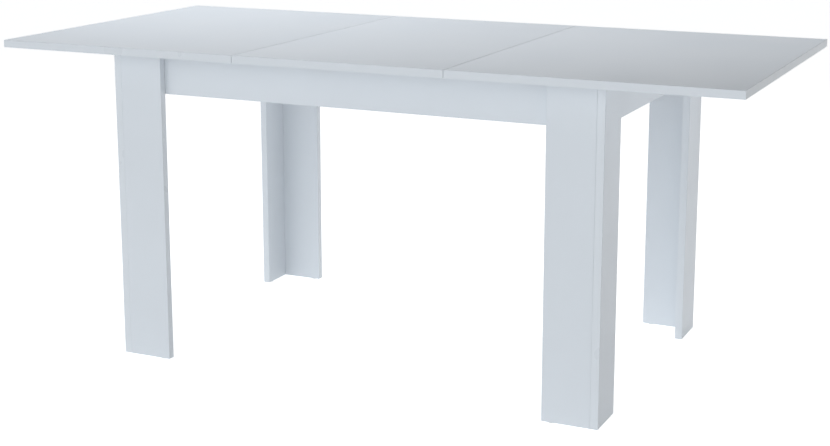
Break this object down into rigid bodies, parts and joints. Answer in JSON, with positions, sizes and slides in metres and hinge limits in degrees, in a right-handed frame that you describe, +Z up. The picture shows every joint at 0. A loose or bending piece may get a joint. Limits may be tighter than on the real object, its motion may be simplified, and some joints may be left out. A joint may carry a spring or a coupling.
{
  "type": "extendable dining table",
  "caption": "Rectangular white laminated dining table on L-shaped board legs, its top split into sliding halves with a loose leaf between them.",
  "frame": {"origin": "on the floor under the middle of the open table", "axes": "+X along the table's length, to the right seen from the front; +Y across it, from the front to the back; +Z up"},
  "size_m": [1.7946, 0.85, 0.758],
  "materials": {
    "white_laminate": "white melamine laminated chipboard, fine satin texture, edges banded in the same white",
    "white_plastic": "moulded white polyethylene, slightly rough",
    "beech": "planed raw beech",
    "zinc_steel": "bright zinc plated pressed steel",
    "aluminium": "plain extruded aluminium with fine drawing lines along its length"
  },
  "bodies": {
    "frame": {"leg_face_front_left": "white_laminate", "leg_side_front_left": "white_laminate", "glide_face_front_left": "white_plastic", "glide_side_front_left": "white_plastic", "corner_block_front_left": "beech", "leg_bolt_face_front_left": "zinc_steel", "leg_bolt_side_front_left": "zinc_steel", "leg_face_back_left": "white_laminate", "leg_side_back_left": "white_laminate", "glide_face_back_left": "white_plastic", "glide_side_back_left": "white_plastic", "corner_block_back_left": "beech", "leg_bolt_face_back_left": "zinc_steel", "leg_bolt_side_back_left": "zinc_steel", "leg_face_front_right": "white_laminate", "leg_side_front_right": "white_laminate", "glide_face_front_right": "white_plastic", "glide_side_front_right": "white_plastic", "corner_block_front_right": "beech", "leg_bolt_face_front_right": "zinc_steel", "leg_bolt_side_front_right": "zinc_steel", "leg_face_back_right": "white_laminate", "leg_side_back_right": "white_laminate", "glide_face_back_right": "white_plastic", "glide_side_back_right": "white_plastic", "corner_block_back_right": "beech", "leg_bolt_face_back_right": "zinc_steel", "leg_bolt_side_back_right": "zinc_steel", "apron_front": "white_laminate", "apron_back": "white_laminate", "apron_left": "white_laminate", "apron_right": "white_laminate", "cross_rail_left": "white_laminate", "cross_rail_right": "white_laminate", "channel_front": "zinc_steel", "channel_back": "zinc_steel"},
    "left_half": {"top_left": "white_laminate", "slide_rail_front_left": "aluminium", "slide_rail_back_left": "aluminium", "latch_plate_front_left": "zinc_steel", "latch_plate_back_left": "zinc_steel"},
    "right_half": {"top_right": "white_laminate", "slide_rail_front_right": "aluminium", "slide_rail_back_right": "aluminium", "latch_plate_front_right": "zinc_steel", "latch_plate_back_right": "zinc_steel"},
    "leaf": {"top_leaf": "white_laminate", "leaf_pad_front_left": "white_plastic", "leaf_pad_back_left": "white_plastic", "leaf_pad_front_right": "white_plastic", "leaf_pad_back_right": "white_plastic", "latch_stud_front_left": "zinc_steel", "latch_stud_back_left": "zinc_steel", "latch_stud_front_right": "zinc_steel", "latch_stud_back_right": "zinc_steel"},
    "latch_front_left": {"latch_lever_front_left": "zinc_steel"},
    "latch_back_left": {"latch_lever_back_left": "zinc_steel"},
    "latch_front_right": {"latch_lever_front_right": "zinc_steel"},
    "latch_back_right": {"latch_lever_back_right": "zinc_steel"}
  },
  "joints": [
    {"name": "left_half_slide", "type": "slide", "parent": "frame", "child": "left_half", "axis": [-1, 0, 0], "range_m": [0, 0.03]},
    {"name": "right_half_slide", "type": "slide", "parent": "frame", "child": "right_half", "axis": [1, 0, 0], "range_m": [0, 0.03]},
    {"name": "leaf_lift", "type": "slide", "parent": "frame", "child": "leaf", "axis": [0, 0, 1], "range_m": [0, 0.3]},
    {"name": "latch_front_left_swivel", "type": "hinge", "parent": "left_half", "child": "latch_front_left", "pos_m": [-0.2893, -0.2829, 0.7362], "axis": [0, 0, 1], "range_deg": [0, 90]},
    {"name": "latch_back_left_swivel", "type": "hinge", "parent": "left_half", "child": "latch_back_left", "pos_m": [-0.2893, 0.2829, 0.7362], "axis": [0, 0, 1], "range_deg": [-90, 0]},
    {"name": "latch_front_right_swivel", "type": "hinge", "parent": "right_half", "child": "latch_front_right", "pos_m": [0.2893, -0.2829, 0.7362], "axis": [0, 0, 1], "range_deg": [-90, 0]},
    {"name": "latch_back_right_swivel", "type": "hinge", "parent": "right_half", "child": "latch_back_right", "pos_m": [0.2893, 0.2829, 0.7362], "axis": [0, 0, 1], "range_deg": [0, 90]}
  ]
}
